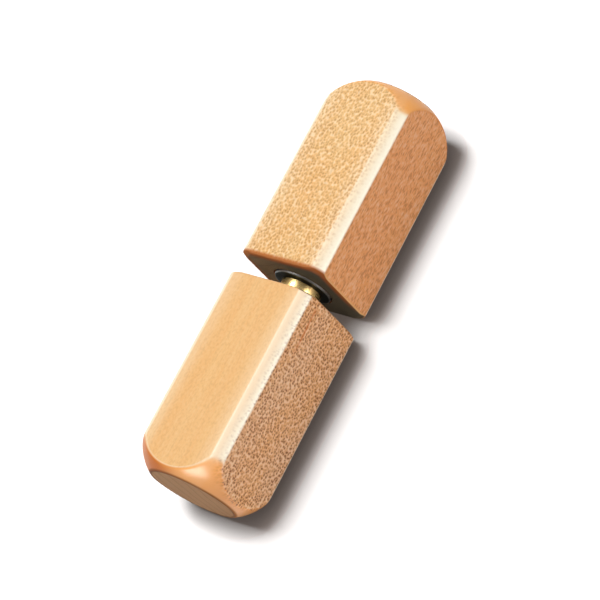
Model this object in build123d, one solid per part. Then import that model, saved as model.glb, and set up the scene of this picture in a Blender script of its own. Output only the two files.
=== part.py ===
from build123d import *
import os
from math import hypot, radians, sqrt, tan

# Twist-type friction bird call, lying on one flat. Millimetres.
# X runs along the twist axis, from the bore block (-X) to the twist block (+X).
# Z is up, the flat that it lies on is z = 0, and the origin is midway between the blocks.

# Wooden blocks, both of one pattern
stock_width = 19.0
block_length = 38.2
block_gap = 3.7
edge_chamfer = 1.8
end_face_dia = 16.5
round_over_radius = 9.6
turning_allowance = 0.5
corner_easing = 1.2
corner_easing_angle = 20.0
inner_arris = 0.4

# Bore block
bore_end_wall = 12.9
bore_mouth_chamfer = 0.5

# Brass plug
barrel_dia = 7.6
barrel_tip_chamfer = 0.6
shank_dia = 5.0
shank_depth = 16.0
shank_tip_chamfer = 0.5
glue_groove_count = 4
glue_groove_width = 1.0
glue_groove_depth = 0.3

# Washer, let into the twist block's inner end
washer_dia = 11.0
washer_thickness = 0.8
washer_proud = 0.3
washer_edge_break = 0.12

# Rosin on the bore's blind end
rosin_thickness = 1.6
rosin_dish = 0.5

# Fits
barrel_clearance = 0.05
washer_bore_clearance = 0.08
washer_play = 0.12
washer_pocket_clearance = 0.3
shank_clearance = 0.05
shank_end_clearance = 0.3
rosin_clearance = 0.05
closed_clearance = 0.1
tip_clearance = 0.4

# Worked out from the sizes above: radii, then places along X
axis_height = stock_width / 2
corner_radius = hypot(stock_width / 2, stock_width / 2 - edge_chamfer)
envelope_radius = corner_radius + turning_allowance
end_radius = end_face_dia / 2
barrel_radius = barrel_dia / 2
bore_radius = barrel_radius + barrel_clearance
shank_radius = shank_dia / 2

inner_face = block_gap / 2
outer_face = inner_face + block_length
washer_outer_face = inner_face - washer_proud
washer_inner_face = washer_outer_face + washer_thickness
pocket_end = washer_inner_face + washer_play
shoulder_face = washer_outer_face - washer_play
shank_end = inner_face + shank_depth
push_in_travel = inner_face + washer_outer_face - closed_clearance
bore_end = outer_face - bore_end_wall
rosin_face = bore_end - rosin_thickness
barrel_tip = rosin_face - tip_clearance - push_in_travel


def turned(profile):
    """The solid that a closed profile in X and radius makes when it is turned about the twist axis."""
    return Pos(0, 0, axis_height) * revolve(Face(Wire(profile)), Axis.X, 360)


def straight_profile(*points):
    """The closed straight-sided profile through points in X and radius."""
    return Polyline(*points, close=True).edges()


def turning_envelope():
    """What the lathe leaves of a +X block: eased inner corners, a cylinder and the round-over to the end face."""
    easing_radius = corner_radius - corner_easing
    easing_depth = (envelope_radius - easing_radius) * tan(radians(corner_easing_angle))
    arc_centre_radius = envelope_radius - round_over_radius
    arc_reach = sqrt(round_over_radius**2 - (end_radius - arc_centre_radius) ** 2)
    arc_start = (outer_face - arc_reach, envelope_radius)
    sides = Polyline(
        (outer_face, end_radius),
        (outer_face, 0),
        (inner_face, 0),
        (inner_face, easing_radius),
        (inner_face + easing_depth, envelope_radius),
        arc_start,
    )
    round_over = TangentArc(arc_start, (outer_face, end_radius), tangent=(1, 0))
    return turned(sides.edges() + round_over.edges())


def block_blank():
    """A +X block before drilling: chamfered square stock with an eased inner end, cut by the turning envelope."""
    stock = Pos(inner_face + block_length / 2, 0, axis_height) * Box(block_length, stock_width, stock_width)
    stock = chamfer(stock.edges().filter_by(Axis.X), edge_chamfer)
    stock = chamfer(stock.faces().sort_by(Axis.X)[0].edges(), inner_arris)
    return stock & turning_envelope()


def make_bore_block():
    """The block on the -X side, with the blind bore that the brass squeaks in."""
    bore = turned(
        straight_profile(
            (inner_face - bore_mouth_chamfer, 0),
            (inner_face - bore_mouth_chamfer, bore_radius + 2 * bore_mouth_chamfer),
            (inner_face + bore_mouth_chamfer, bore_radius),
            (bore_end, bore_radius),
            (bore_end, 0),
        )
    )
    return mirror(block_blank() - bore, about=Plane.YZ)


def make_twist_block():
    """The block on the +X side, with the washer's pocket and the hole that the plug's shank is glued in."""
    pocket_radius = washer_dia / 2 + washer_pocket_clearance
    hole_radius = shank_radius + shank_clearance
    hole_end = shank_end + shank_end_clearance
    drilling = turned(
        straight_profile(
            (washer_outer_face, 0),
            (washer_outer_face, pocket_radius),
            (pocket_end, pocket_radius),
            (pocket_end, hole_radius),
            (hole_end, hole_radius),
            (hole_end, 0),
        )
    )
    return block_blank() - drilling


def make_friction_plug():
    """Turned brass: a smooth barrel to the -X side of its shoulder and a grooved shank to the +X side."""
    plug = turned(
        straight_profile(
            (-barrel_tip, 0),
            (-barrel_tip, barrel_radius - barrel_tip_chamfer),
            (-barrel_tip + barrel_tip_chamfer, barrel_radius),
            (shoulder_face, barrel_radius),
            (shoulder_face, shank_radius),
            (shank_end - shank_tip_chamfer, shank_radius),
            (shank_end, shank_radius - shank_tip_chamfer),
            (shank_end, 0),
        )
    )
    groove_pitch = (shank_end - shank_tip_chamfer - pocket_end) / (glue_groove_count + 1)
    for number in range(1, glue_groove_count + 1):
        plug -= glue_groove(pocket_end + number * groove_pitch)
    return plug


def glue_groove(middle):
    """A ring cut around the shank, for the glue that holds it in the twist block."""
    half_width = glue_groove_width / 2
    floor_radius = shank_radius - glue_groove_depth
    clear_radius = shank_radius + glue_groove_depth
    return turned(
        straight_profile(
            (middle - half_width, floor_radius),
            (middle - half_width, clear_radius),
            (middle + half_width, clear_radius),
            (middle + half_width, floor_radius),
        )
    )


def make_thrust_washer():
    """A flat steel ring, loose between the plug's shoulder and the twist block."""
    rim_radius = washer_dia / 2
    hole_radius = shank_radius + washer_bore_clearance
    return turned(
        straight_profile(
            (washer_outer_face, hole_radius),
            (washer_outer_face, rim_radius - washer_edge_break),
            (washer_outer_face + washer_edge_break, rim_radius),
            (washer_inner_face - washer_edge_break, rim_radius),
            (washer_inner_face, rim_radius - washer_edge_break),
            (washer_inner_face, hole_radius),
        )
    )


def make_rosin_charge():
    """Rosin pressed onto the bore's blind end, dished where the plug's tip has tamped it."""
    rim_radius = bore_radius - rosin_clearance
    return turned(
        straight_profile(
            (-bore_end, 0),
            (-bore_end, rim_radius),
            (-rosin_face, rim_radius),
            (-rosin_face - rosin_dish, 0),
        )
    )


pieces = {
    "bore_block": make_bore_block(),
    "twist_block": make_twist_block(),
    "friction_plug": make_friction_plug(),
    "thrust_washer": make_thrust_washer(),
    "rosin_charge": make_rosin_charge(),
}
os.makedirs("parts", exist_ok=True)
for name, piece in pieces.items():
    export_step(piece, f"parts/{name}.step")
print("barrel in the bore at rest", round(barrel_tip - inner_face, 3), "push-in travel", round(push_in_travel, 3))
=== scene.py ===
"""Dresses a twist bird call: two turned maple blocks, a brass plug, a steel washer and a pinch of rosin."""
from math import acos, cos, hypot, pi, radians, sin, sqrt, tan
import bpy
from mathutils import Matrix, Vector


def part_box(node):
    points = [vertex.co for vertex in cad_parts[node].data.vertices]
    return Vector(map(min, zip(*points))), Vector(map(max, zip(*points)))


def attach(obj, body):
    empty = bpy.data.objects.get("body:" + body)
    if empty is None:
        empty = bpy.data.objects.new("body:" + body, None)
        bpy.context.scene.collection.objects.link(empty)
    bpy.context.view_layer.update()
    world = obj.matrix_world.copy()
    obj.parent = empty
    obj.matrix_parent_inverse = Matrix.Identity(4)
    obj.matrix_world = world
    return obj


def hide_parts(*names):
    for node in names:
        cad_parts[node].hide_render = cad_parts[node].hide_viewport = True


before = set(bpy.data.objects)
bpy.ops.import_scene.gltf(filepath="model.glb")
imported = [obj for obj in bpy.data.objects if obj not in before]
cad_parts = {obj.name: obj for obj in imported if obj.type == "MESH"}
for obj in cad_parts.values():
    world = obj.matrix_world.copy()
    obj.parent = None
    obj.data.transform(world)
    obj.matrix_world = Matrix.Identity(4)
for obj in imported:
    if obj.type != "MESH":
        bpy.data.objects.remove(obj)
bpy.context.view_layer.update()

from types import SimpleNamespace

import bpy
from bpy.props import FloatProperty, FloatVectorProperty, IntProperty, PointerProperty
from bpy.types import NodeSocket, Operator, Panel, PropertyGroup
from mathutils import Matrix, Vector

bl_info = {
    "name": "Twist bird call",
    "version": (1, 0, 0),
    "blender": (4, 5, 0),
    "location": "View3D > Sidebar > Bird Call",
    "description": "Turns and finishes the wooden blocks, plug, washer and rosin of a twist bird call",
    "category": "Object",
}

MM = 0.001
TWIST_LOW, TWIST_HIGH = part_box("twist_block")
PLUG_LOW, PLUG_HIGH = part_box("friction_plug")
WASHER_LOW, WASHER_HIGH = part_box("thrust_washer")
ROSIN_LOW, ROSIN_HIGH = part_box("rosin_charge")


def length(name, description, default):
    """A length that a user may change, in metres."""
    return FloatProperty(name=name, description=description, default=default, unit="LENGTH", precision=5)


def colour(name, description, default):
    """A colour that a user may change, as linear red, green and blue."""
    return FloatVectorProperty(
        name=name, description=description, default=default, size=3, min=0.0, max=1.0, subtype="COLOR"
    )


def angle(name, description, degrees):
    """An angle that a user may change."""
    return FloatProperty(name=name, description=description, default=radians(degrees), subtype="ANGLE")


def level(name, description, default):
    """A plain number that a user may change."""
    return FloatProperty(name=name, description=description, default=default, min=0.0)


class BirdCallBlocks(PropertyGroup):
    """Sizes of the two wooden blocks"""

    stock_width: length("Stock width", "Width across the flats", TWIST_HIGH.y - TWIST_LOW.y)
    axis_height: length("Axis height", "Height of the twist axis", (TWIST_LOW.z + TWIST_HIGH.z) / 2)
    inner_face: length("Inner face", "From the middle of the call to a block's inner end", TWIST_LOW.x)
    outer_face: length("Outer face", "From the middle of the call to a block's outer end", TWIST_HIGH.x)
    edge_chamfer: length("Edge chamfer", "Leg of the chamfer on each long edge", 1.8 * MM)
    edge_crown: length("Edge crown", "How far a chamfer's middle stands out", 0.09 * MM)
    sanded_softness: length("Sanded softness", "Rubbing of the top's and bottom's arrises", 1.1 * MM)
    side_softness: length("Side softness", "Rubbing of the two sides' arrises", 0.35 * MM)
    end_face_dia: length("End face diameter", "Flat at the middle of the outer end", 16.5 * MM)
    round_over_radius: length("Round-over radius", "Radius turned on the outer end", 9.6 * MM)
    round_over_softness: length("Round-over softness", "Rubbing of the round-over's edge", 0.5 * MM)
    turning_allowance: length("Turning allowance", "From the stock to the turned cylinder", 0.5 * MM)
    corner_easing: length("Corner easing", "Taken off the inner end's corners", 1.2 * MM)
    corner_easing_angle: angle("Corner easing angle", "Slope of the eased corners", 20.0)
    inner_arris: length("Inner arris", "Rounding of the inner end's edges", 0.6 * MM)
    bore_dia: length("Bore diameter", "Friction bore in the bore block", 7.7 * MM)
    bore_end_wall: length("Bore end wall", "Wood left beyond the bore", 12.9 * MM)
    bore_mouth: length("Bore mouth", "Chamfer at the bore's mouth", 0.5 * MM)
    pocket_dia: length("Pocket diameter", "Pocket for the washer in the twist block", 11.6 * MM)
    pocket_depth: length("Pocket depth", "Depth of the washer's pocket", 0.62 * MM)
    shank_hole_dia: length("Shank hole diameter", "Hole for the plug's shank", 5.1 * MM)
    shank_hole_depth: length("Shank hole depth", "Depth of the shank's hole", 16.3 * MM)
    columns: IntProperty(name="Columns", description="Points around a block", default=720, min=8)


class BirdCallFittings(PropertyGroup):
    """Sizes of the plug, the washer and the rosin"""

    barrel_dia: length("Barrel diameter", "Part of the plug that squeaks in the bore", 7.6 * MM)
    barrel_tip_chamfer: length("Barrel tip chamfer", "Chamfer on the barrel's tip", 0.6 * MM)
    shoulder: length("Shoulder", "Place of the plug's shoulder along the axis", 1.43 * MM)
    shank_dia: length("Shank diameter", "Part of the plug that is glued in", 5.0 * MM)
    shank_tip_chamfer: length("Shank tip chamfer", "Chamfer on the shank's tip", 0.5 * MM)
    groove_count: IntProperty(name="Glue grooves", description="Grooves around the shank", default=4, min=0)
    groove_width: length("Groove width", "Width of a glue groove", 1.0 * MM)
    groove_depth: length("Groove depth", "Depth of a glue groove", 0.3 * MM)
    washer_dia: length("Washer diameter", "Outside of the washer", 11.0 * MM)
    washer_hole_dia: length("Washer hole diameter", "Inside of the washer", 5.16 * MM)
    washer_edge: length("Washer edge", "Rounding of the washer's edges", 0.12 * MM)
    # Painted highlight: a bright glint round the washer's rim
    washer_glint_rim: length("Glint rim", "Width of the washer's rim that is rubbed bright", 0.3 * MM)
    rosin_dia: length("Rosin diameter", "Width of the rosin in the bore", 7.6 * MM)
    rosin_dish: length("Rosin dish", "How deep the plug has tamped the rosin", 0.5 * MM)
    columns: IntProperty(name="Columns", description="Points around a fitting", default=192, min=8)


class BirdCallColours(PropertyGroup):
    """Colours of the finishes"""

    maple_pale: colour("Pale maple", "Early wood under the lacquer", (0.87, 0.56, 0.25))
    maple_rose: colour("Rosy maple", "Flat sawn faces of the bore block", (0.845, 0.54, 0.295))
    maple_deep: colour("Deep maple", "Warmer drifts in the wood", (0.86, 0.45, 0.15))
    maple_smooth: colour("Smooth maple", "Quarter sawn faces of the bore block", (0.795, 0.485, 0.205))
    maple_warm: colour("Warm maple", "Quarter sawn faces of the twist block", (0.79, 0.36, 0.147))
    maple_fleck: colour("Dark fleck", "Ends of the rays on the bore block's sides", (0.22, 0.075, 0.03))
    maple_gold: colour("Golden fleck", "Ends of the rays on the twist block's top", (0.45, 0.23, 0.075))
    maple_line: colour("Growth line", "Late wood", (0.78, 0.36, 0.11))
    # Pale grain in the figure, and the pale tone of the chamfers, which is partly painted sheen
    maple_pale_grain_and_sheen: colour("Pale grain and sheen", "Pale grain, and chamfers pale with painted sheen", (0.935, 0.885, 0.69))
    maple_turned: colour("Turned end", "Round-over, where end grain soaks up lacquer", (0.92, 0.40, 0.09))
    maple_soaked: colour("Soaked end", "Side of the round-over that soaked up more", (0.58, 0.15, 0.025))
    maple_sawn: colour("Sawn end", "Flat ends, left without lacquer", (0.64, 0.42, 0.24))
    # Painted shade: the inner ends take this near-black tone for the shade in the gap
    maple_gap_shade: colour("Inner end", "Inner ends, painted dark as the shade in the gap", (0.11, 0.10, 0.068))
    brass: colour("Brass", "Turned brass", (0.74, 0.53, 0.22))
    # Painted shade: the washer's steel is darkened to stand for the gap's shade and the dark it reflects
    steel: colour("Steel", "Steel painted dark for its shade in the gap", (0.06, 0.065, 0.06))
    # Painted highlight on the washer's rim
    steel_glint: colour("Glint steel", "Washer's rim, rubbed bright", (0.32, 0.33, 0.32))
    rosin: colour("Rosin", "Pressed rosin", (0.62, 0.30, 0.06))
    floor: colour("Floor", "Floor as the eye sees it", (1.0, 1.0, 1.0))
    floor_shade: colour("Floor shade", "Floor where the call stands close over it", (0.125, 0.122, 0.122))
    floor_glow: colour("Floor glow", "What the eye sees of the floor in shadow", (1.0, 0.78, 0.68))
    floor_bounce: colour("Floor bounce", "Floor as it lights the call", (0.50, 0.43, 0.38))


class BirdCallStage(PropertyGroup):
    """Camera, lamps and floor"""

    azimuth: angle("Azimuth", "Camera's angle round the call, from the -Y side", -22.66)
    elevation: angle("Elevation", "Camera's angle above the floor", 47.48)
    roll: angle("Roll", "Turn of the camera about its line of sight", -44.96)
    distance: length("Distance", "From the camera to its target", 396.3 * MM)
    target: FloatVectorProperty(
        name="Target", description="Point at the middle of the picture", size=3, unit="LENGTH",
        default=(-0.386 * MM, 0.03 * MM, 8.425 * MM),
    )
    lens: FloatProperty(name="Lens", description="Focal length in millimetres", default=134.8)
    key_level: level("Key level", "Brightness of the key panel overhead", 20.0)
    fill_level: level("Fill level", "Brightness of the low warm panel in front", 32.5)
    fill_tone: colour("Fill tone", "Colour of the low panel in front", (1.0, 0.87, 0.87))
    front_level: level("Front panel level", "Brightness of the panel on the camera's right", 14.0)
    end_level: level("End panel level", "Brightness of the panel off the bore block's end", 7.7)
    sky_level: level("Sky level", "Brightness of the surroundings", 0.03)
    shade_reach: length("Shade reach", "How near the call the floor takes its shade", 4.6 * MM)
    shade_power: level("Shade power", "How quickly that shade deepens", 2.1)
    glow_shaded: level("Shaded glow", "Glow of the floor where its shade is deepest", 0.07)
    glow_open: level("Open glow", "Glow of the floor away from the call", 0.19)


PROPERTY_GROUPS = {
    "bird_call_blocks": BirdCallBlocks,
    "bird_call_fittings": BirdCallFittings,
    "bird_call_colours": BirdCallColours,
    "bird_call_stage": BirdCallStage,
}


# Helpers for node trees


def add(tree, kind, inputs=None, **settings):
    """A new node; inputs gives sockets by name or number a value, or another socket to link from."""
    made = tree.nodes.new(kind)
    for name, value in settings.items():
        setattr(made, name, value)
    for name, value in (inputs or {}).items():
        plug_in(tree, made.inputs[name], value)
    return made


def plug_in(tree, socket, value):
    """Links a socket to another one, or sets its value."""
    if isinstance(value, NodeSocket):
        tree.links.new(value, socket)
    else:
        socket.default_value = value


def math(tree, operation, *values):
    """The output of a Math node."""
    return add(tree, "ShaderNodeMath", dict(enumerate(values)), operation=operation).outputs[0]


def vector_math(tree, operation, *values):
    """The output of a Vector Math node."""
    return add(tree, "ShaderNodeVectorMath", dict(enumerate(values)), operation=operation).outputs[0]


def product(tree, first, *others):
    """Two or more values, multiplied."""
    for value in others:
        first = math(tree, "MULTIPLY", first, value)
    return first


def rest_of(tree, share):
    """What a share leaves of 1."""
    return math(tree, "SUBTRACT", 1.0, share)


def length_of(tree, first, second):
    """The length of the long side of a right triangle."""
    squares = math(tree, "ADD", product(tree, first, first), product(tree, second, second))
    return math(tree, "SQRT", squares)


def parts_of(tree, vector):
    """The X, Y and Z of a vector, by name."""
    return add(tree, "ShaderNodeSeparateXYZ", {0: vector}).outputs


def vector_of(tree, x, y=0.0, z=0.0):
    """A vector from its X, Y and Z."""
    return add(tree, "ShaderNodeCombineXYZ", {0: x, 1: y, 2: z}).outputs[0]


def scaled(tree, vector, factors):
    """A vector with each part multiplied by its own factor."""
    return vector_math(tree, "MULTIPLY", vector, factors)


def between(tree, share, low, high):
    """The value between low and high that a share from 0 to 1 stands for."""
    return add(tree, "ShaderNodeMapRange", {0: share, 3: low, 4: high}).outputs[0]


def fade(tree, value, start, end, low=0.0, high=1.0):
    """A smooth step from low to high while a value goes from start to end."""
    inputs = {0: value, 1: start, 2: end, 3: low, 4: high}
    return add(tree, "ShaderNodeMapRange", inputs, interpolation_type="SMOOTHSTEP").outputs[0]


def mix(tree, share, first, second):
    """A blend of two colours."""
    return add(tree, "ShaderNodeMix", {0: share, 6: first, 7: second}, data_type="RGBA").outputs[2]


def noise(tree, vector, detail=2.0, roughness=0.5):
    """A noise of scale 1 on a vector."""
    inputs = {"Vector": vector, "Scale": 1.0, "Detail": detail, "Roughness": roughness}
    return add(tree, "ShaderNodeTexNoise", inputs).outputs[0]


def opaque(rgb):
    """A colour as a colour socket takes it."""
    return (*rgb, 1.0)


def built_once(name, build):
    """The node tree of a name, built when it is first asked for."""
    return bpy.data.node_groups.get(name) or build(name)


# Turned shapes


# Rows of points along each stretch of a turned profile
ROWS = {
    "end face": 4,
    "round-over": 44,
    "cylinder": 10,
    "eased corner": 12,
    "bore": 6,
    "bore end": 3,
    "shank hole": 4,
    "barrel": 8,
    "rosin face": 8,
}
SHARP_ANGLE = radians(25.0)
MERGE_DISTANCE = 0.001 * MM

# How far the flat would stand out beyond a chamfer where the pale tone, with its painted sheen, sets in, on
# a top or bottom and on a side, and where it is full; and how far the lathe's cut stays clear of a face that
# keeps that tone
PLANED_FROM_TOP = -0.25 * MM
PLANED_FROM_SIDE = -0.1 * MM
PLANED_FULL = 0.1 * MM
TURNING_CLEAR = (-0.1 * MM, 0.2 * MM)


def start_tree(name, sizes):
    """A Geometry Nodes tree with inputs for a profile, its sizes and a material, and one output."""
    tree = bpy.data.node_groups.new(name, "GeometryNodeTree")
    tree.is_modifier = True
    tree.interface.new_socket("Profile", in_out="INPUT", socket_type="NodeSocketGeometry")
    tree.interface.new_socket("Columns", in_out="INPUT", socket_type="NodeSocketInt")
    for size in sizes:
        tree.interface.new_socket(size, in_out="INPUT", socket_type="NodeSocketFloat")
    tree.interface.new_socket("Material", in_out="INPUT", socket_type="NodeSocketMaterial")
    tree.interface.new_socket("Piece", in_out="OUTPUT", socket_type="NodeSocketGeometry")
    return tree, tree.nodes.new("NodeGroupInput").outputs


def turned_points(tree, given):
    """A grid with a row for each point of the profile; returns it with its points' X, radius and angle."""
    profile = given["Profile"]
    columns = given["Columns"]
    rows = add(tree, "GeometryNodeAttributeDomainSize", {"Geometry": profile}, component="MESH").outputs[0]
    across = math(tree, "ADD", columns, 1.0)
    grid = add(tree, "GeometryNodeMeshGrid", {"Vertices X": across, "Vertices Y": rows})
    index = tree.nodes.new("GeometryNodeInputIndex").outputs[0]
    place = tree.nodes.new("GeometryNodeInputPosition").outputs[0]
    sampled = add(
        tree,
        "GeometryNodeSampleIndex",
        {"Geometry": profile, "Value": place, "Index": math(tree, "MODULO", index, rows)},
        data_type="FLOAT_VECTOR",
        domain="POINT",
    )
    row = parts_of(tree, sampled.outputs[0])
    column = math(tree, "FLOOR", math(tree, "DIVIDE", index, rows))
    turn = product(tree, column, math(tree, "DIVIDE", 2 * pi, columns))
    return grid.outputs["Mesh"], row["X"], row["Y"], turn


def close_tree(tree, given, grid, along, radius, turn, side=1.0):
    """Puts the grid's points round the axis, closes seam and poles, and gives the piece its material."""
    sideways = product(tree, radius, math(tree, "SINE", turn), side)
    upward = math(tree, "MULTIPLY_ADD", radius, math(tree, "COSINE", turn), given["Axis Height"])
    place = vector_of(tree, product(tree, along, side), sideways, upward)
    made = grid
    for kind, inputs in (
        ("GeometryNodeSetPosition", {"Position": place}),
        ("GeometryNodeMergeByDistance", {"Distance": MERGE_DISTANCE}),
        ("GeometryNodeRealizeInstances", {}),
        ("GeometryNodeSetMaterial", {"Material": given["Material"]}),
    ):
        made = add(tree, kind, {"Geometry": made, **inputs}).outputs[0]
    add(tree, "NodeGroupOutput", {"Piece": made})


def fitting_tree(name):
    """A tree for a round piece: its profile, turned about the axis."""
    tree, given = start_tree(name, ["Axis Height"])
    close_tree(tree, given, *turned_points(tree, given))
    return tree


def block_tree(name):
    """A tree for a block: a turned profile, cut off where it leaves the chamfered square stock."""
    tree, given = start_tree(
        name,
        ["Axis Height", "Side", "Stock Width", "Edge Chamfer", "Edge Span", "Edge Crown", "Sanded Softness",
         "Side Softness", "Turned Softness", "Inner Face", "Inner Arris"],
    )
    grid, along, radius, turn = turned_points(tree, given)
    stock = stock_section(tree, given, turn)
    section = product(tree, stock.section, inner_end_share(tree, given, along))
    cut_radius = math(tree, "SMOOTH_MIN", radius, section, given["Turned Softness"])

    # Chamfers that the lathe didn't reach keep their planed face
    planed_from = between(tree, stock.on_side, PLANED_FROM_TOP, PLANED_FROM_SIDE)
    chamfered = fade(tree, math(tree, "SUBTRACT", stock.flat, stock.chamfer), planed_from, PLANED_FULL)
    unturned = fade(tree, math(tree, "SUBTRACT", radius, section), *TURNING_CLEAR)
    marks = {"planed": product(tree, chamfered, unturned), "edge_place": stock.edge_place}
    for mark, value in marks.items():
        marked = add(
            tree,
            "GeometryNodeStoreNamedAttribute",
            {"Geometry": grid, "Name": mark, "Value": value},
            data_type="FLOAT",
            domain="POINT",
        )
        grid = marked.outputs[0]
    close_tree(tree, given, grid, along, cut_radius, turn, given["Side"])
    return tree


def stock_section(tree, given, turn):
    """The chamfered stock's section at an angle: from the axis to its flats, to its crowned chamfers and to
    both, rubbed soft where they meet. With them, whether it is a side, and the place across a chamfer,
    which is 1 and -1 at its edges."""
    across = math(tree, "ABSOLUTE", math(tree, "COSINE", turn))
    beside = math(tree, "ABSOLUTE", math(tree, "SINE", turn))
    half_width = math(tree, "MULTIPLY", given["Stock Width"], 0.5)
    flat = math(tree, "DIVIDE", half_width, math(tree, "MAXIMUM", across, beside))
    diagonal = math(tree, "SUBTRACT", given["Stock Width"], given["Edge Chamfer"])
    chamfer = math(tree, "DIVIDE", diagonal, math(tree, "ADD", across, beside))
    edge_place = math(tree, "DIVIDE", math(tree, "SUBTRACT", across, beside), given["Edge Span"])
    crown = rest_of(tree, product(tree, edge_place, edge_place))
    chamfer = math(tree, "MULTIPLY_ADD", given["Edge Crown"], crown, chamfer)
    on_side = math(tree, "GREATER_THAN", beside, across)
    softness = between(tree, on_side, given["Sanded Softness"], given["Side Softness"])
    section = math(tree, "SMOOTH_MIN", flat, chamfer, softness)
    return SimpleNamespace(
        flat=flat, chamfer=chamfer, section=section, on_side=on_side, edge_place=edge_place
    )


def inner_end_share(tree, given, along):
    """How much of the section is left near the inner face, where it draws in along a quarter round."""
    arris = given["Inner Arris"]
    past_face = math(tree, "SUBTRACT", along, given["Inner Face"])
    to_round = math(tree, "MAXIMUM", math(tree, "SUBTRACT", arris, past_face), 0.0)
    squares = math(tree, "SUBTRACT", product(tree, arris, arris), product(tree, to_round, to_round))
    drawn_in = math(tree, "SUBTRACT", arris, math(tree, "SQRT", math(tree, "MAXIMUM", squares, 0.0)))
    half_width = math(tree, "MULTIPLY", given["Stock Width"], 0.5)
    return rest_of(tree, math(tree, "DIVIDE", drawn_in, half_width))


def make_turned(name, profile, tree, inputs):
    """Turns a profile of X and radius, in a row from the +X end, into a plain mesh object at the origin."""
    rows = bpy.data.meshes.new(name + "_profile")
    points = [(along, radius, 0.0) for along, radius in profile]
    rows.from_pydata(points, [(number, number + 1) for number in range(len(points) - 1)], [])
    piece = bpy.data.objects.new(name, rows)
    bpy.context.scene.collection.objects.link(piece)
    modifier = piece.modifiers.new("Turning", "NODES")
    modifier.node_group = tree
    for socket, value in inputs.items():
        modifier[tree.interface.items_tree[socket].identifier] = value
    evaluated = piece.evaluated_get(bpy.context.evaluated_depsgraph_get())
    mesh = bpy.data.meshes.new_from_object(evaluated)
    if not mesh.polygons:
        raise RuntimeError(name + " came out empty")
    piece.modifiers.remove(modifier)
    piece.data = mesh
    bpy.data.meshes.remove(rows)
    mesh.name = name
    mesh.shade_smooth()
    mesh.set_sharp_from_angle(angle=SHARP_ANGLE)
    return piece


def make_fitting(scene, name, profile, material):
    """A round piece, turned about the twist axis."""
    inputs = {
        "Columns": scene.bird_call_fittings.columns,
        "Axis Height": scene.bird_call_blocks.axis_height,
        "Material": material,
    }
    return make_turned(name, profile, built_once("Turned fitting", fitting_tree), inputs)


def spread(first, last, stretch):
    """Evenly spaced points from one point to another, both included."""
    count = ROWS[stretch]
    steps = [number / (count - 1) for number in range(count)]
    return [tuple(a + (b - a) * step for a, b in zip(first, last)) for step in steps]


def corner_radius(sizes):
    """From the axis to the arrises of a chamfered block."""
    half_width = sizes.stock_width / 2
    return hypot(half_width, half_width - sizes.edge_chamfer)


def block_profile(sizes, drilling):
    """A block's rows in X and radius: end face, round-over, cylinder, eased inner corners and drilling."""
    envelope = corner_radius(sizes) + sizes.turning_allowance
    end_radius = sizes.end_face_dia / 2
    arc_centre = envelope - sizes.round_over_radius
    arc_angle = acos((end_radius - arc_centre) / sizes.round_over_radius)
    arc_start = sizes.outer_face - sizes.round_over_radius * sin(arc_angle)
    easing_radius = corner_radius(sizes) - sizes.corner_easing
    easing_depth = (envelope - easing_radius) * tan(sizes.corner_easing_angle)

    rows = spread((sizes.outer_face, 0.0), (sizes.outer_face, end_radius), "end face")[:-1]
    for (slope,) in spread((arc_angle,), (0.0,), "round-over"):
        along = arc_start + sizes.round_over_radius * sin(slope)
        rows.append((along, arc_centre + sizes.round_over_radius * cos(slope)))
    rows += spread(rows[-1], (sizes.inner_face + easing_depth, envelope), "cylinder")[1:]
    rows += spread(rows[-1], (sizes.inner_face, easing_radius), "eased corner")[1:]
    return rows + drilling


def bore_rows(sizes):
    """The inner face and the friction bore, down to its blind end."""
    radius = sizes.bore_dia / 2
    mouth_radius = radius + sizes.bore_mouth
    end = sizes.outer_face - sizes.bore_end_wall
    rows = [
        (sizes.inner_face, (sizes.stock_width / 2 + mouth_radius) / 2),
        (sizes.inner_face, mouth_radius),
        (sizes.inner_face + sizes.bore_mouth, radius),
    ]
    rows += spread(rows[-1], (end, radius), "bore")[1:]
    return rows + spread(rows[-1], (end, 0.0), "bore end")[1:]


def pocket_rows(sizes):
    """The inner face, the washer's pocket and the shank's hole, down to its blind end."""
    radius = sizes.pocket_dia / 2
    hole_radius = sizes.shank_hole_dia / 2
    floor = sizes.inner_face + sizes.pocket_depth
    end = sizes.inner_face + sizes.shank_hole_depth
    rows = [(sizes.inner_face, (sizes.stock_width / 2 + radius) / 2), (sizes.inner_face, radius)]
    rows += [(floor, radius), (floor, hole_radius)]
    rows += spread(rows[-1], (end, hole_radius), "shank hole")[1:]
    return rows + [(end, 0.0)]


def plug_profile(sizes, shank_start):
    """The plug's rows in X and radius, from the tip of its grooved shank to the tip of its barrel."""
    shank = sizes.shank_dia / 2
    barrel = sizes.barrel_dia / 2
    floor = shank - sizes.groove_depth
    shank_tip = PLUG_HIGH.x - sizes.shank_tip_chamfer
    rows = [(PLUG_HIGH.x, 0.0), (PLUG_HIGH.x, shank - sizes.shank_tip_chamfer), (shank_tip, shank)]
    pitch = (shank_tip - shank_start) / (sizes.groove_count + 1)
    for number in range(sizes.groove_count, 0, -1):
        middle = shank_start + number * pitch
        far = middle + sizes.groove_width / 2
        near = middle - sizes.groove_width / 2
        rows += [(far, shank), (far, floor), (near, floor), (near, shank)]
    rows += [(sizes.shoulder, shank), (sizes.shoulder, barrel)]
    rows += spread(rows[-1], (PLUG_LOW.x + sizes.barrel_tip_chamfer, barrel), "barrel")[1:]
    return rows + [(PLUG_LOW.x, barrel - sizes.barrel_tip_chamfer), (PLUG_LOW.x, 0.0)]


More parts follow.
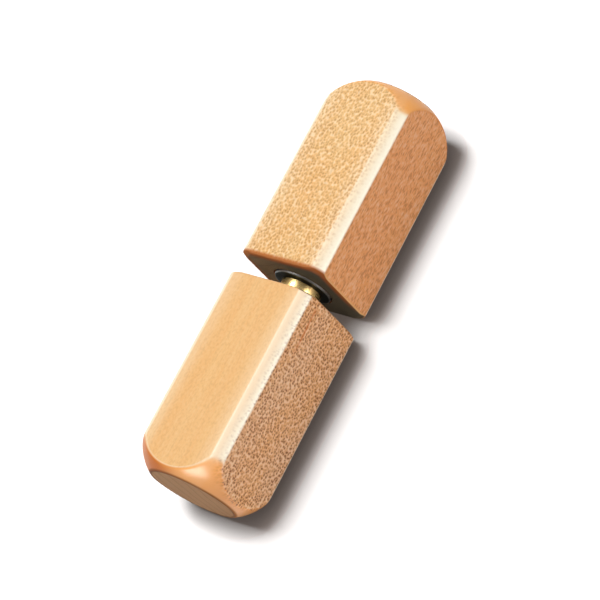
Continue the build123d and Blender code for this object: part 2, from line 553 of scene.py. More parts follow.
def washer_profile(sizes):
    """The washer's rows in X and radius, once round its section."""
    rim = sizes.washer_dia / 2
    hole = sizes.washer_hole_dia / 2
    edge = sizes.washer_edge
    far = WASHER_HIGH.x
    near = WASHER_LOW.x
    rows = [(far, hole + edge), (far, rim - edge), (far - edge, rim), (near + edge, rim)]
    rows += [(near, rim - edge), (near, hole + edge), (near + edge, hole), (far - edge, hole)]
    return rows + rows[:1]


def rosin_profile(sizes):
    """The rosin's rows in X and radius, from its tamped face to the bore's end."""
    rim = sizes.rosin_dia / 2
    rows = []
    for (radius,) in spread((0.0,), (rim,), "rosin face"):
        rows.append((ROSIN_HIGH.x - sizes.rosin_dish * (1 - (radius / rim) ** 2), radius))
    return rows + [(ROSIN_LOW.x, rim), (ROSIN_LOW.x, 0.0)]


# Finishes


def start_material(name):
    """A material with its Principled shader, ready for nodes."""
    material = bpy.data.materials.new(name)
    material.use_nodes = True
    return material, material.node_tree, material.node_tree.nodes["Principled BSDF"]


def millimetres(tree, turn=0.0, shift=(0.0, 0.0, 0.0)):
    """Object coordinates in millimetres from the twist axis, turned about it and shifted."""
    height = bpy.context.scene.bird_call_blocks.axis_height
    source = tree.nodes.new("ShaderNodeTexCoord").outputs["Object"]
    centred = vector_math(tree, "SUBTRACT", source, (0.0, 0.0, height))
    inputs = {
        "Vector": centred,
        "Location": shift,
        "Rotation": (turn, 0.0, 0.0),
        "Scale": (1 / MM, 1 / MM, 1 / MM),
    }
    return add(tree, "ShaderNodeMapping", inputs).outputs[0]


def show_relief(tree, shader, height, strength, depth):
    """Fine relief in the surface, from a height."""
    bump = add(tree, "ShaderNodeBump", {"Height": height, "Strength": strength, "Distance": depth})
    plug_in(tree, shader.inputs["Normal"], bump.outputs[0])


# Maple's figure; a scale is in steps per millimetre along the grain, along the rings and across them
FIGURE = {
    "fleck_unevenness": (0.8, 0.8, 0.0),
    "unevenness_scale": 0.8,
    "fleck_edge": (0.64, 0.06),
    "fleck_power": 1.1,
    "fleck_depths": (0.3, 1.0),
    "ridge_edge": (0.45, 0.75),
    "ring_bend": 0.008,
    "ring_sway": 3.0,
    "sway_scale": (0.03, 0.1, 0.15),
    "rings_per_mm": 0.38,
    "late_wood_power": 9.0,
    "band_length_scale": 0.02,
    "band_scale": (1.0, 0.4, 1.0),
    "strand_scale": (0.2, 4.5, 4.5),
    "strand_slip": 9.0,
    "slip_scale": (0.0, 3.1, 3.1),
    "drift_scale": (0.05, 0.16, 0.16),
}


def maple_figure(name):
    """Maple's figure, from a place in millimetres: X along the grain, Y along the rings, Z across them."""
    group = bpy.data.node_groups.new(name, "ShaderNodeTree")
    for size in ("Place", "Fleck Size", "Streak Size"):
        group.interface.new_socket(size, in_out="INPUT", socket_type="NodeSocketVector")
    given = group.nodes.new("NodeGroupInput").outputs
    place = given["Place"]
    parts = parts_of(group, place)

    # Rays: long across the rings, so that they end as fine pits with pale ridges between on a flat sawn face
    cells = vector_math(group, "DIVIDE", place, given["Fleck Size"])
    inputs = {"Vector": cells, "Scale": FIGURE["unevenness_scale"], "Detail": 0.0}
    uneven = add(group, "ShaderNodeTexNoise", inputs).outputs["Color"]
    cells = vector_math(group, "MULTIPLY_ADD", uneven, FIGURE["fleck_unevenness"], cells)
    pits = add(group, "ShaderNodeTexVoronoi", {"Vector": cells, "Scale": 1.0}, voronoi_dimensions="2D")
    from_pit = pits.outputs["Distance"]
    each = add(group, "ShaderNodeSeparateColor", {0: pits.outputs["Color"]}).outputs[0]
    flecks = math(group, "POWER", fade(group, from_pit, *FIGURE["fleck_edge"]), FIGURE["fleck_power"])

    # Growth rings: gently bent sheets that darken towards the late wood
    bend = product(group, parts["Y"], parts["Y"], FIGURE["ring_bend"])
    sway = product(group, noise(group, scaled(group, place, FIGURE["sway_scale"])), FIGURE["ring_sway"])
    depth = math(group, "ADD", math(group, "ADD", parts["Z"], bend), sway)
    ring = math(group, "FRACT", product(group, depth, FIGURE["rings_per_mm"]))
    layers = vector_of(group, product(group, parts["X"], FIGURE["band_length_scale"]), depth)

    # Fibres: strands along the grain, each slipped by its own amount
    slip = noise(group, scaled(group, place, FIGURE["slip_scale"]), detail=0.0)
    slip = vector_of(group, product(group, slip, FIGURE["strand_slip"]))
    strands = vector_math(group, "ADD", scaled(group, place, FIGURE["strand_scale"]), slip)

    found = {
        "Flecks": product(group, flecks, fade(group, each, 0.0, 1.0, *FIGURE["fleck_depths"])),
        "Ridges": fade(group, from_pit, *FIGURE["ridge_edge"]),
        "Streaks": noise(group, vector_math(group, "DIVIDE", place, given["Streak Size"]), detail=1.0),
        "Lines": math(group, "POWER", ring, FIGURE["late_wood_power"]),
        "Bands": noise(group, scaled(group, layers, FIGURE["band_scale"])),
        "Fibre": noise(group, strands, detail=3.0, roughness=0.6),
        "Drift": noise(group, scaled(group, place, FIGURE["drift_scale"])),
    }
    for output in found:
        group.interface.new_socket(output, in_out="OUTPUT", socket_type="NodeSocketFloat")
    add(group, "NodeGroupOutput", found)
    return group


# How each block was cut and finished, with sizes in millimetres:
# turn and shift say how its growth rings lie and where in the plank it was;
# the tones are those of its flat sawn faces, of its quarter sawn faces and of its flecks;
# a size and a depth give the grain of flecks and streaks and how strongly they show;
# gap_stain is how dark the stain on the wood beside the inner end is, and how much of the inner end's rim is
# painted lit in a reddish tone;
# soaked_side is the side of the rings on which the round-over is darker;
# planed_from is the place across a chamfer where the pale tone sets in, which brightens towards the sides as
# painted sheen;
# polish is the gloss of the round-over, and lip how pale a painted highlight along its edge is on the
# quarter sawn faces;
# vein is a thin dark vein's height over the axis, its two ends along X and its depth
CUTS = {
    "bore": {
        "turn": pi / 2,
        "shift": (7.0, 3.0, 11.0),
        "flat_tone": "maple_rose",
        "quarter_tone": "maple_smooth",
        "fleck_tone": "maple_fleck",
        "fleck_size": (0.56, 0.50, 1.0),
        "fleck_depth": 1.0,
        "streak_size": (0.6, 0.4, 0.4),
        "streak_depth": 0.1,
        "gap_stain": 0.0,
        "soaked_side": 1.0,
        "planed_from": 0.5,
        "polish": 0.96,
        "lip": 0.25,
        "vein": (5.0, 3.0, 14.0, 0.6),
    },
    "twist": {
        "turn": 0.0,
        "shift": (40.0, 31.0, 27.0),
        "flat_tone": "maple_pale",
        "quarter_tone": "maple_warm",
        "fleck_tone": "maple_gold",
        "fleck_size": (0.62, 0.52, 1.0),
        "fleck_depth": 0.78,
        "streak_size": (0.9, 0.3, 0.3),
        "streak_depth": 0.4,
        "gap_stain": 0.8,
        "soaked_side": -1.0,
        "planed_from": 0.9,
        "polish": 0.3,
        "lip": 0.0,
        "vein": None,
    },
}

# Where each mask over a block starts and where it is full
LIMITS = {
    # How squarely the surface faces one way
    "flat sawn": (0.55, 0.95),
    "quarter sawn": (0.75, 0.98),
    "sawn end": (0.93, 0.99),
    "inner end": (0.8, 0.95),
    "sloped": (0.05, 0.45),
    # Painted highlight along the round-over's edge
    "lip": (0.01, 0.06),
    "lip end": (0.44, 0.1),
    "soaked side": (-0.25, 0.2),
    "stained faces": (0.15, 0.5),
    # Millimetres: from the inner face, inside the outline, over the axis, across it, from the end's arris
    "gap stain": (1.0, 0.3),
    # Rim of the inner end, painted lit in a reddish tone on its upper part only
    "lit rim width": (2.0, 0.2),
    "lit rim height": (-7.0, 1.0),
    # The inner end's painted shade lightens across it towards +Y
    "inner shade gradient": (-3.0, 7.0),
    "end arris": (0.6, 0.15),
    # Place across a chamfer, which is 1 and -1 at its edges
    # Painted sheen on the top and bottom beside a chamfer
    "sheened": (3.5, 1.0),
    "top or bottom": (-0.5, 0.5),
    # Values of the figure
    "drift": (0.35, 0.65),
    "bands": (0.35, 0.7),
    "dark fibre": (0.5, 0.25),
    "fibre": (0.3, 0.7),
    "dark streaks": (0.5, 0.3),
    "pale streaks": (0.5, 0.7),
}

# How much of the tone a layer covers, or how much of a figure shows; two shares go with a mask's two limits
SHARES = {
    "drift": 0.5,
    "quarter sawn": 0.85,
    "bands": 0.25,
    "lines": 0.12,
    "fibre": 0.15,
    "dark fibre": 0.1,
    "pale streaks": 0.6,
    "flat sawn streaks": 0.6,
    "turned": 0.85,
    "soaked": 0.9,
    # Pale tone across a chamfer, brightening towards the side as painted sheen
    "planed": (0.62, 1.0),
    # Painted sheen beside the chamfers
    "sheened": 0.18,
    "flecks on a chamfer": 0.5,
    "ridges": 0.34,
    "dark stain": 0.4,
    "sawn end": (0.95, 0.8),
    "lines on a sawn end": 0.4,
    # How much painted shade covers the inner end, less towards +Y
    "inner end": (0.97, 0.5),
    "end arris": 0.8,
}

# How far across a chamfer the pale tone takes to come in fully, where the chamfer's width is 2; towards the
# side it brightens as painted sheen
PLANED_SPAN = 1.4

# Gloss of the wood: its satin roughness, what dull faces and bare wood add to it, and the lacquer's coat
GLOSS = {
    "satin": (0.36, 0.5),
    "dull": 0.2,
    "bare": 0.3,
    "face coat": 0.04,
    "chamfer coat": 0.26,
    "coat soaked up": 0.95,
    "coat roughness": 0.25,
    "specular": 0.1,
}
WOOD_RELIEF = 0.05 * MM
WOOD_RELIEF_STRENGTH = 0.5
FIBRE_HEIGHT = 0.2


def maple(name, cut):
    """Lacquered maple; cut says how the block lies in the plank and how its figure shows."""
    material, tree, shader = start_material(name)
    inputs = {
        "Place": millimetres(tree, cut["turn"], cut["shift"]),
        "Fleck Size": cut["fleck_size"],
        "Streak Size": cut["streak_size"],
    }
    figure = built_once("Maple figure", maple_figure)
    wood = add(tree, "ShaderNodeGroup", inputs, node_tree=figure).outputs
    spots = SimpleNamespace(place=parts_of(tree, millimetres(tree)))
    for mark in (mark_faces, mark_inner_end, mark_turned_end, mark_edges):
        mark(tree, spots, cut)
    mark_figure(tree, spots, wood)
    plug_in(tree, shader.inputs["Base Color"], maple_tone(tree, spots, wood, cut))
    lacquer(tree, shader, spots, wood["Fibre"], cut["polish"])
    height = math(tree, "SUBTRACT", product(tree, wood["Fibre"], FIBRE_HEIGHT), spots.flecks)
    show_relief(tree, shader, height, WOOD_RELIEF_STRENGTH, WOOD_RELIEF)
    return material


def mark_faces(tree, spots, cut):
    """How squarely the surface faces across the growth rings, along them and along the grain."""
    normal = tree.nodes.new("ShaderNodeTexCoord").outputs["Normal"]
    in_plank = add(tree, "ShaderNodeMapping", {"Vector": normal, "Rotation": (cut["turn"], 0.0, 0.0)})
    facing = parts_of(tree, in_plank.outputs[0])
    spots.over_rings = facing["Z"]
    spots.across_rings = math(tree, "ABSOLUTE", facing["Z"])
    spots.endways = math(tree, "ABSOLUTE", facing["X"])
    spots.flat_sawn = fade(tree, spots.across_rings, *LIMITS["flat sawn"])
    spots.quarter_sawn = fade(tree, math(tree, "ABSOLUTE", facing["Y"]), *LIMITS["quarter sawn"])
    spots.sawn_end = fade(tree, spots.endways, *LIMITS["sawn end"])
    spots.sloped = fade(tree, spots.endways, *LIMITS["sloped"])
    spots.outwards = math(tree, "GREATER_THAN", product(tree, spots.place["X"], facing["X"]), 0.0)
    spots.inwards = rest_of(tree, spots.outwards)
    spots.along = math(tree, "ABSOLUTE", spots.place["X"])


def mark_inner_end(tree, spots, cut):
    """The end that faces the gap, which takes a painted shade; the upper part of its rim, which keeps a
    reddish tone where light reaches it; and a stain on the wood beside it.
    """
    sizes = bpy.context.scene.bird_call_blocks
    spots.inner_end = product(tree, spots.inwards, fade(tree, spots.endways, *LIMITS["inner end"]))
    from_face = math(tree, "SUBTRACT", spots.along, sizes.inner_face / MM)
    near_gap = fade(tree, from_face, *LIMITS["gap stain"], 0.0, cut["gap_stain"])
    spots.stain = product(tree, near_gap, fade(tree, spots.across_rings, *LIMITS["stained faces"]))

    out_y = math(tree, "ABSOLUTE", spots.place["Y"])
    out_z = math(tree, "ABSOLUTE", spots.place["Z"])
    to_flat = math(tree, "SUBTRACT", sizes.stock_width / 2 / MM, math(tree, "MAXIMUM", out_y, out_z))
    diagonal = (sizes.stock_width - sizes.edge_chamfer) / MM
    to_chamfer = product(tree, math(tree, "SUBTRACT", diagonal, math(tree, "ADD", out_y, out_z)), sqrt(0.5))
    to_outline = math(tree, "MINIMUM", to_flat, to_chamfer)
    near_rim = fade(tree, to_outline, *LIMITS["lit rim width"], 0.0, cut["gap_stain"])
    # Painted light: only the rim's upper part, where light reaches it, keeps the reddish tone; lower down
    # the inner end's painted shade covers it
    upper = fade(tree, spots.place["Z"], *LIMITS["lit rim height"])
    spots.stained_rim = product(tree, spots.inner_end, near_rim, upper)


def mark_turned_end(tree, spots, cut):
    """The round-over with its soaked side and a painted highlight along its edge, and the arris round the
    flat end.
    """
    sizes = bpy.context.scene.bird_call_blocks
    spots.turned = product(tree, spots.outwards, spots.sloped)
    # Painted highlight along the round-over's edge, on the quarter sawn faces
    lip = fade(tree, spots.endways, *LIMITS["lip"])
    before_end = fade(tree, spots.endways, *LIMITS["lip end"], 0.0, cut["lip"])
    spots.lip = product(tree, lip, before_end, spots.outwards, spots.quarter_sawn)
    soaking = fade(tree, product(tree, spots.over_rings, cut["soaked_side"]), *LIMITS["soaked side"])
    spots.soaked = product(tree, spots.turned, soaking)
    radius = length_of(tree, spots.place["Y"], spots.place["Z"])
    from_end = math(tree, "SUBTRACT", spots.along, sizes.outer_face / MM)
    from_rim = math(tree, "SUBTRACT", radius, sizes.end_face_dia / 2 / MM)
    spots.end_arris = fade(tree, length_of(tree, from_end, from_rim), *LIMITS["end arris"])


def mark_edges(tree, spots, cut):
    """Chamfers in a pale tone, partly the planed wood's and partly painted sheen that grows towards the
    sides, and painted sheen on the faces beside them.
    """
    spots.chamfer = add(tree, "ShaderNodeAttribute", attribute_name="planed").outputs["Fac"]
    edge_place = add(tree, "ShaderNodeAttribute", attribute_name="edge_place").outputs["Fac"]
    planed_to = cut["planed_from"] - PLANED_SPAN
    # The chamfer's pale tone grows towards the sides as a painted sheen
    planed = fade(tree, edge_place, cut["planed_from"], planed_to, *SHARES["planed"])
    # Painted sheen: the top and bottom grow paler towards a chamfer
    sheened = fade(tree, edge_place, *LIMITS["sheened"], 0.0, SHARES["sheened"])
    top_or_bottom = fade(tree, edge_place, *LIMITS["top or bottom"])
    sheened = product(tree, sheened, top_or_bottom, rest_of(tree, spots.endways))
    spots.pale_edge = math(tree, "MAXIMUM", product(tree, spots.chamfer, planed), sheened)


def mark_figure(tree, spots, wood):
    """Flecks and ridges of the flat sawn faces, and streaks, which are fainter there than on the others."""
    figured = between(tree, spots.chamfer, 1.0, SHARES["flecks on a chamfer"])
    figured = product(tree, spots.flat_sawn, figured)
    spots.flecks = product(tree, wood["Flecks"], figured)
    spots.ridges = product(tree, wood["Ridges"], figured)
    streaked = math(tree, "MULTIPLY_ADD", spots.flat_sawn, SHARES["flat sawn streaks"], spots.quarter_sawn)
    spots.dark_streaks = product(tree, fade(tree, wood["Streaks"], *LIMITS["dark streaks"]), streaked)
    spots.pale_streaks = product(tree, fade(tree, wood["Streaks"], *LIMITS["pale streaks"]), streaked)


def maple_tone(tree, spots, wood, cut):
    """The wood's colour: layers over the tone of its flat sawn faces, each with how much it covers."""
    colours = bpy.context.scene.bird_call_colours
    sawn_cover = fade(tree, wood["Fibre"], *LIMITS["fibre"], *SHARES["sawn end"])
    # Painted shade over the inner end, lighter towards +Y
    inner_shade_cover = fade(tree, spots.place["Y"], *LIMITS["inner shade gradient"], *SHARES["inner end"])
    layers = [
        (fade(tree, wood["Drift"], *LIMITS["drift"], 0.0, SHARES["drift"]), "maple_deep"),
        (product(tree, spots.quarter_sawn, SHARES["quarter sawn"]), cut["quarter_tone"]),
        (fade(tree, wood["Bands"], *LIMITS["bands"], 0.0, SHARES["bands"]), "maple_line"),
        (product(tree, wood["Lines"], SHARES["lines"]), "maple_line"),
        (product(tree, wood["Fibre"], SHARES["fibre"]), "maple_line"),
        (fade(tree, wood["Fibre"], *LIMITS["dark fibre"], 0.0, SHARES["dark fibre"]), "maple_fleck"),
        (product(tree, spots.pale_streaks, SHARES["pale streaks"] * cut["streak_depth"]), "maple_pale_grain_and_sheen"),
        (product(tree, spots.dark_streaks, cut["streak_depth"]), "maple_fleck"),
        (product(tree, spots.turned, SHARES["turned"]), "maple_turned"),
        # Painted highlight along the round-over's edge
        (spots.lip, "maple_pale_grain_and_sheen"),
        (product(tree, spots.soaked, SHARES["soaked"]), "maple_soaked"),
        # Chamfers: pale planed tone with painted sheen, and painted sheen beside them
        (spots.pale_edge, "maple_pale_grain_and_sheen"),
        (product(tree, spots.ridges, SHARES["ridges"] * cut["fleck_depth"]), "maple_pale_grain_and_sheen"),
        (product(tree, spots.flecks, cut["fleck_depth"]), cut["fleck_tone"]),
        (spots.stain, "maple_soaked"),
        (product(tree, spots.stain, SHARES["dark stain"]), "maple_fleck"),
        (product(tree, spots.sawn_end, sawn_cover), "maple_sawn"),
        (product(tree, spots.sawn_end, wood["Lines"], SHARES["lines on a sawn end"]), "maple_fleck"),
        # Painted shade in the gap, over the inner end
        (product(tree, spots.inner_end, inner_shade_cover), "maple_gap_shade"),
        # Painted light on the upper rim of the inner end
        (spots.stained_rim, "maple_soaked"),
        (product(tree, spots.end_arris, SHARES["end arris"]), "maple_fleck"),
    ]
    if cut["vein"]:
        layers.append((vein_share(tree, spots, wood["Drift"], cut["vein"]), "maple_soaked"))
    tone = opaque(getattr(colours, cut["flat_tone"]))
    for share, layer in layers:
        tone = mix(tree, share, tone, opaque(getattr(colours, layer)))
    return tone


# A vein, in millimetres: its wander up and down, its edge and core, and how fast it comes and goes
VEIN_WANDER = 1.6
VEIN_EDGE = (0.32, 0.1)
VEIN_START = 1.0
VEIN_END = 5.0


def vein_share(tree, spots, drift, vein):
    """Where a thin vein shows on the -Y face, from its height over the axis, its two ends and its depth."""
    height, start, end, depth = vein
    middle = math(tree, "MULTIPLY_ADD", drift, VEIN_WANDER, height - VEIN_WANDER / 2)
    from_middle = math(tree, "ABSOLUTE", math(tree, "SUBTRACT", spots.place["Z"], middle))
    return product(
        tree,
        fade(tree, from_middle, *VEIN_EDGE, 0.0, depth),
        fade(tree, spots.along, start, start + VEIN_START),
        fade(tree, spots.along, end, end - VEIN_END),
        spots.flat_sawn,
        math(tree, "LESS_THAN", spots.place["Y"], 0.0),
    )


def lacquer(tree, shader, spots, fibre, polish):
    """The wood's gloss: satin faces, brighter chamfers and round-over, and ends without lacquer."""
    bare = math(tree, "MAXIMUM", spots.sawn_end, spots.end_arris)
    bare = math(tree, "MAXIMUM", bare, product(tree, spots.inwards, spots.sloped))
    coatless = math(tree, "MAXIMUM", bare, product(tree, spots.soaked, GLOSS["coat soaked up"]))
    dull = rest_of(tree, math(tree, "MAXIMUM", spots.turned, spots.chamfer))
    satin = fade(tree, fibre, *LIMITS["fibre"], *GLOSS["satin"])
    satin = math(tree, "MULTIPLY_ADD", dull, GLOSS["dull"], satin)
    plug_in(tree, shader.inputs["Roughness"], math(tree, "MULTIPLY_ADD", bare, GLOSS["bare"], satin))
    coat = math(tree, "MULTIPLY_ADD", spots.chamfer, GLOSS["chamfer coat"], GLOSS["face coat"])
    coat = math(tree, "MULTIPLY_ADD", spots.turned, polish, coat)
    plug_in(tree, shader.inputs["Coat Weight"], product(tree, rest_of(tree, coatless), coat))
    shader.inputs["Coat Roughness"].default_value = GLOSS["coat roughness"]
    shader.inputs["Specular IOR Level"].default_value = GLOSS["specular"]


# Turned metal: its marks and haze, how much each roughens it, how dull haze is and how soft the edge of a
# painted glint is
METAL = {
    "marks_per_mm": 9.0,
    "marks_roughness": 0.12,
    "marks_relief": 0.01 * MM,
    "marks_relief_strength": 0.1,
    "haze_scale": (0.4, 0.4, 0.4),
    "haze_edge": (0.45, 0.7),
    "haze_roughness": 0.1,
    "haze_dullness": 0.72,
    "glint_edge_mm": 0.2,
}


def turning_marks(name):
    """Fine lines left by a lathe tool, from a place along the cut in millimetres."""
    group = bpy.data.node_groups.new(name, "ShaderNodeTree")
    group.interface.new_socket("Place", in_out="INPUT", socket_type="NodeSocketFloat")
    group.interface.new_socket("Marks", in_out="OUTPUT", socket_type="NodeSocketFloat")
    place = group.nodes.new("NodeGroupInput").outputs["Place"]
    inputs = {"W": place, "Scale": METAL["marks_per_mm"], "Detail": 4.0, "Roughness": 0.7}
    node = add(group, "ShaderNodeTexNoise", inputs, noise_dimensions="1D")
    add(group, "NodeGroupOutput", {"Marks": node.outputs[0]})
    return group


def turned_metal(name, rgb, on_face, roughness, edge_tint, glint_from=None, glint_rgb=None):
    """Metal from the lathe, with marks along X or, on a face, along the radius. The edge tint is how much of
    a glancing reflection is left. From the radius glint_from outwards it takes a brighter tone, a painted
    glint."""
    material, tree, shader = start_material(name)
    shader.inputs["Metallic"].default_value = 1.0
    shader.inputs["Specular Tint"].default_value = (edge_tint, edge_tint, edge_tint, 1.0)
    place = millimetres(tree)
    parts = parts_of(tree, place)
    radius = length_of(tree, parts["Y"], parts["Z"])
    inputs = {"Place": radius if on_face else parts["X"]}
    lines = built_once("Turning marks", turning_marks)
    marks = add(tree, "ShaderNodeGroup", inputs, node_tree=lines).outputs["Marks"]
    haze = noise(tree, scaled(tree, place, METAL["haze_scale"]), detail=4.0)
    dull = [channel * METAL["haze_dullness"] for channel in rgb]
    tone = mix(tree, fade(tree, haze, *METAL["haze_edge"]), opaque(rgb), opaque(dull))
    if glint_from is not None:
        # A painted glint: the rim takes a brighter tone all round
        glint = fade(tree, radius, glint_from / MM, glint_from / MM + METAL["glint_edge_mm"])
        tone = mix(tree, glint, tone, opaque(glint_rgb))
    plug_in(tree, shader.inputs["Base Color"], tone)
    hazy = product(tree, haze, METAL["haze_roughness"])
    uneven = math(tree, "MULTIPLY_ADD", marks, METAL["marks_roughness"], hazy)
    mean = (METAL["marks_roughness"] + METAL["haze_roughness"]) / 2
    plug_in(tree, shader.inputs["Roughness"], math(tree, "ADD", uneven, roughness - mean))
    show_relief(tree, shader, marks, METAL["marks_relief_strength"], METAL["marks_relief"])
    return material


# Rosin powder: its grains, where its clouds of dust start and are full, how pale they are, and its relief
ROSIN = {
    "grains_per_mm": 4.0,
    "dust_edge": (0.4, 0.7),
    "dust_paleness": 0.4,
    "cloud_edge": (0.3, 0.7),
    "roughness": (0.35, 0.75),
    "relief": 0.1 * MM,
    "relief_strength": 0.6,
}


def pressed_rosin():
    """Amber rosin powder, pressed into a crumbly cake."""
    rgb = bpy.context.scene.bird_call_colours.rosin
    material, tree, shader = start_material("Pressed rosin")
    place = millimetres(tree)
    grains = add(tree, "ShaderNodeTexVoronoi", {"Vector": place, "Scale": ROSIN["grains_per_mm"]})
    clouds = noise(tree, place, detail=4.0)
    dusty = [channel / 2 + ROSIN["dust_paleness"] for channel in rgb]
    tone = mix(tree, fade(tree, clouds, *ROSIN["dust_edge"]), opaque(rgb), opaque(dusty))
    plug_in(tree, shader.inputs["Base Color"], tone)
    plug_in(tree, shader.inputs["Roughness"], fade(tree, clouds, *ROSIN["cloud_edge"], *ROSIN["roughness"]))
    show_relief(tree, shader, grains.outputs["Distance"], ROSIN["relief_strength"], ROSIN["relief"])
    return material


# Operators, one for each piece or group of like pieces, and one for the stage


class BIRDCALL_OT_blocks(Operator):
    """Turn both wooden blocks from square stock and drill them"""

    bl_idname = "birdcall.blocks"
    bl_label = "Wooden blocks"

    def execute(self, context):
        sizes = context.scene.bird_call_blocks
        tree = built_once("Turned block", block_tree)
        shared = {
            "Columns": sizes.columns,
            "Axis Height": sizes.axis_height,
            "Stock Width": sizes.stock_width,
            "Edge Chamfer": sizes.edge_chamfer,
            "Edge Span": sizes.edge_chamfer / corner_radius(sizes),
            "Edge Crown": sizes.edge_crown,
            "Sanded Softness": sizes.sanded_softness,
            "Side Softness": sizes.side_softness,
            "Turned Softness": sizes.round_over_softness,
            "Inner Face": sizes.inner_face,
            "Inner Arris": sizes.inner_arris,
        }
        for name, drilling, side in (("bore", bore_rows(sizes), -1.0), ("twist", pocket_rows(sizes), 1.0)):
            material = maple(f"Maple of the {name} block", CUTS[name])
            inputs = {**shared, "Side": side, "Material": material}
            piece = make_turned(f"{name}_block_wood", block_profile(sizes, drilling), tree, inputs)
            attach(piece, f"{name}_body")
            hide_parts(f"{name}_block")
            # The wood's warm light stays off the floor, so that its shadow is grey
            piece.visible_diffuse = False
        return {"FINISHED"}


class BIRDCALL_OT_plug(Operator):
    """Turn the brass plug, with its barrel and grooved shank"""

    bl_idname = "birdcall.plug"
    bl_label = "Brass plug"

    def execute(self, context):
        scene = context.scene
        blocks = scene.bird_call_blocks
        rgb = scene.bird_call_colours.brass
        material = turned_metal("Turned brass", rgb, on_face=False, roughness=0.28, edge_tint=1.0)
        profile = plug_profile(scene.bird_call_fittings, blocks.inner_face + blocks.pocket_depth)
        piece = make_fitting(scene, "plug_brass", profile, material)
        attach(piece, "twist_body")
        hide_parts("friction_plug")
        return {"FINISHED"}


class BIRDCALL_OT_washer(Operator):
    """Turn the steel washer in the twist block's pocket"""

    bl_idname = "birdcall.washer"
    bl_label = "Steel washer"

    def execute(self, context):
        scene = context.scene
        sizes = scene.bird_call_fittings
        colours = scene.bird_call_colours
        material = turned_metal(
            "Turned steel",
            # Steel darkened as painted shade
            colours.steel,
            on_face=True,
            roughness=0.38,
            edge_tint=0.35,
            # The rim's bright tone is a painted glint
            glint_from=sizes.washer_dia / 2 - sizes.washer_glint_rim,
            glint_rgb=colours.steel_glint,
        )
        piece = make_fitting(scene, "washer_steel", washer_profile(sizes), material)
        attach(piece, "washer_body")
        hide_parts("thrust_washer")
        return {"FINISHED"}


class BIRDCALL_OT_rosin(Operator):
    """Press the rosin onto the bore's blind end"""

    bl_idname = "birdcall.rosin"
    bl_label = "Rosin charge"

    def execute(self, context):
        scene = context.scene
        profile = rosin_profile(scene.bird_call_fittings)
        piece = make_fitting(scene, "rosin_cake", profile, pressed_rosin())
        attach(piece, "bore_body")
        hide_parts("rosin_charge")
        return {"FINISHED"}


class BIRDCALL_OT_stage(Operator):
    """Set the floor, the surroundings, the lamps and the camera"""

    bl_idname = "birdcall.stage"
    bl_label = "Stage"

    def execute(self, context):
        scene = context.scene
        stage = scene.bird_call_stage
        scene.view_settings.view_transform = "Standard"
        lay_floor(scene)
        light_surroundings(scene, stage.sky_level)
        hang_panel(scene, "Key panel", stage.key_level)
        hang_panel(scene, "Fill panel", stage.fill_level).data.color = stage.fill_tone
        # Two panels for gloss alone
        hang_panel(scene, "Front panel", stage.front_level).visible_diffuse = False
        hang_panel(scene, "End panel", stage.end_level).visible_diffuse = False
        place_camera(scene, stage)
        return {"FINISHED"}


FLOOR_HALF_WIDTH = 4.0
FLOOR_DROP = 0.02 * MM


def lay_floor(scene):
    """A wide pale floor, just clear of the call."""
    mesh = bpy.data.meshes.new("floor")
    half = FLOOR_HALF_WIDTH
    corners = [(-half, -half), (half, -half), (half, half), (-half, half)]
    mesh.from_pydata([(x, y, -FLOOR_DROP) for x, y in corners], [], [range(4)])
    mesh.materials.append(pale_floor(scene.bird_call_colours, scene.bird_call_stage))
    floor = bpy.data.objects.new("floor", mesh)
    scene.collection.objects.link(floor)


def pale_floor(colours, stage):
    """White to the eye and duller as a light, shaded close to the call, with a faint glow in its shadow."""
    material = bpy.data.materials.new("Pale floor")
    material.use_nodes = True
    tree = material.node_tree
    tree.nodes.clear()
    openness = add(tree, "ShaderNodeAmbientOcclusion", {"Distance": stage.shade_reach}).outputs["AO"]
    openness = math(tree, "POWER", openness, stage.shade_power)
    lit = mix(tree, openness, opaque(colours.floor_shade), opaque(colours.floor))
    seen = seen_directly(tree)
    tone = mix(tree, seen, opaque(colours.floor_bounce), lit)
    diffuse = add(tree, "ShaderNodeBsdfDiffuse", {"Color": tone})
    strength = product(tree, seen, fade(tree, openness, 0.0, 1.0, stage.glow_shaded, stage.glow_open))
    glow = add(tree, "ShaderNodeEmission", {"Color": opaque(colours.floor_glow), "Strength": strength})
    surface = add(tree, "ShaderNodeAddShader", {0: diffuse.outputs[0], 1: glow.outputs[0]})
    add(tree, "ShaderNodeOutputMaterial", {"Surface": surface.outputs[0]})
    return material


def seen_directly(tree):
    """1 for rays from the eye and for what metal and glass show, otherwise 0."""
    rays = tree.nodes.new("ShaderNodeLightPath").outputs
    mirrored = math(tree, "MAXIMUM", rays["Is Glossy Ray"], rays["Is Transmission Ray"])
    return math(tree, "MAXIMUM", rays["Is Camera Ray"], mirrored)


def light_surroundings(scene, sky_level):
    """White surroundings, dimmer as a light than they look."""
    world = bpy.data.worlds.new("Studio")
    world.use_nodes = True
    scene.world = world
    tree = world.node_tree
    background = tree.nodes["Background"]
    background.inputs["Color"].default_value = (1.0, 1.0, 1.0, 1.0)
    plug_in(tree, background.inputs["Strength"], between(tree, seen_directly(tree), sky_level, 1.0))


# Each panel's direction from the call, and its distance, width and height in metres
PANELS = {
    "Key panel": ((0.07, 0.252, 0.965), 3.0, 1.1, 1.18),
    "Fill panel": ((-0.2, -0.97, 0.032), 0.7, 0.5, 0.04),
    "Front panel": ((0.26, -0.90, 0.36), 0.7, 0.25, 0.25),
    "End panel": ((-0.92, -0.05, 0.40), 0.7, 0.4, 0.25),
}
WATTS_PER_AREA = 4.0


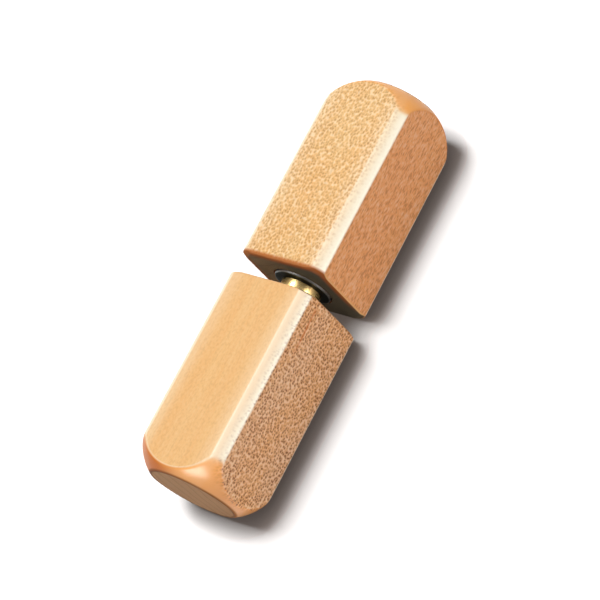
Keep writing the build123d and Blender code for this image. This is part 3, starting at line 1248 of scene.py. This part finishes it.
def hang_panel(scene, name, brightness):
    """A soft panel that faces the call, equally bright at any size."""
    direction, distance, width, height = PANELS[name]
    lamp = bpy.data.lights.new(name, "AREA")
    lamp.shape = "RECTANGLE"
    lamp.size = width
    lamp.size_y = height
    lamp.energy = brightness * WATTS_PER_AREA * width * height
    holder = bpy.data.objects.new(name, lamp)
    towards = Vector(direction).normalized()
    holder.location = towards * distance
    holder.rotation_mode = "QUATERNION"
    holder.rotation_quaternion = towards.to_track_quat("Z", "Y")
    holder.visible_camera = False
    scene.collection.objects.link(holder)
    return holder


SENSOR_WIDTH_MM = 36.0
NEAREST_SEEN = 10 * MM


def place_camera(scene, stage):
    """The camera, turned about its line of sight as the picture is."""
    camera = bpy.data.cameras.new("Camera")
    camera.lens = stage.lens
    camera.sensor_width = SENSOR_WIDTH_MM
    camera.clip_start = NEAREST_SEEN
    holder = bpy.data.objects.new("Camera", camera)
    azimuth = stage.azimuth
    elevation = stage.elevation
    back = Vector((sin(azimuth) * cos(elevation), -cos(azimuth) * cos(elevation), sin(elevation)))
    right = Vector((cos(azimuth), sin(azimuth), 0.0))
    up = back.cross(right)
    turned_right = cos(stage.roll) * right + sin(stage.roll) * up
    turned_up = cos(stage.roll) * up - sin(stage.roll) * right
    axes = Matrix((turned_right, turned_up, back)).transposed().to_4x4()
    holder.matrix_world = Matrix.Translation(Vector(stage.target) + stage.distance * back) @ axes
    scene.collection.objects.link(holder)
    scene.camera = holder


OPERATORS = (
    BIRDCALL_OT_blocks,
    BIRDCALL_OT_plug,
    BIRDCALL_OT_washer,
    BIRDCALL_OT_rosin,
    BIRDCALL_OT_stage,
)


class BIRDCALL_PT_panel(Panel):
    """Bird call pieces and sizes"""

    bl_idname = "BIRDCALL_PT_panel"
    bl_label = "Bird Call"
    bl_space_type = "VIEW_3D"
    bl_region_type = "UI"
    bl_category = "Bird Call"

    def draw(self, context):
        for operator in OPERATORS:
            self.layout.operator(operator.bl_idname)
        for pointer, group in PROPERTY_GROUPS.items():
            box = self.layout.box()
            for name in group.__annotations__:
                box.prop(getattr(context.scene, pointer), name)


CLASSES = (*PROPERTY_GROUPS.values(), *OPERATORS, BIRDCALL_PT_panel)


def register():
    for cls in CLASSES:
        bpy.utils.register_class(cls)
    for pointer, group in PROPERTY_GROUPS.items():
        setattr(bpy.types.Scene, pointer, PointerProperty(type=group))


def unregister():
    for pointer in PROPERTY_GROUPS:
        delattr(bpy.types.Scene, pointer)
    for cls in reversed(CLASSES):
        bpy.utils.unregister_class(cls)


def main():
    register()
    bpy.ops.birdcall.blocks()
    bpy.ops.birdcall.plug()
    bpy.ops.birdcall.washer()
    bpy.ops.birdcall.rosin()
    bpy.ops.birdcall.stage()


if __name__ == "__main__":
    main()
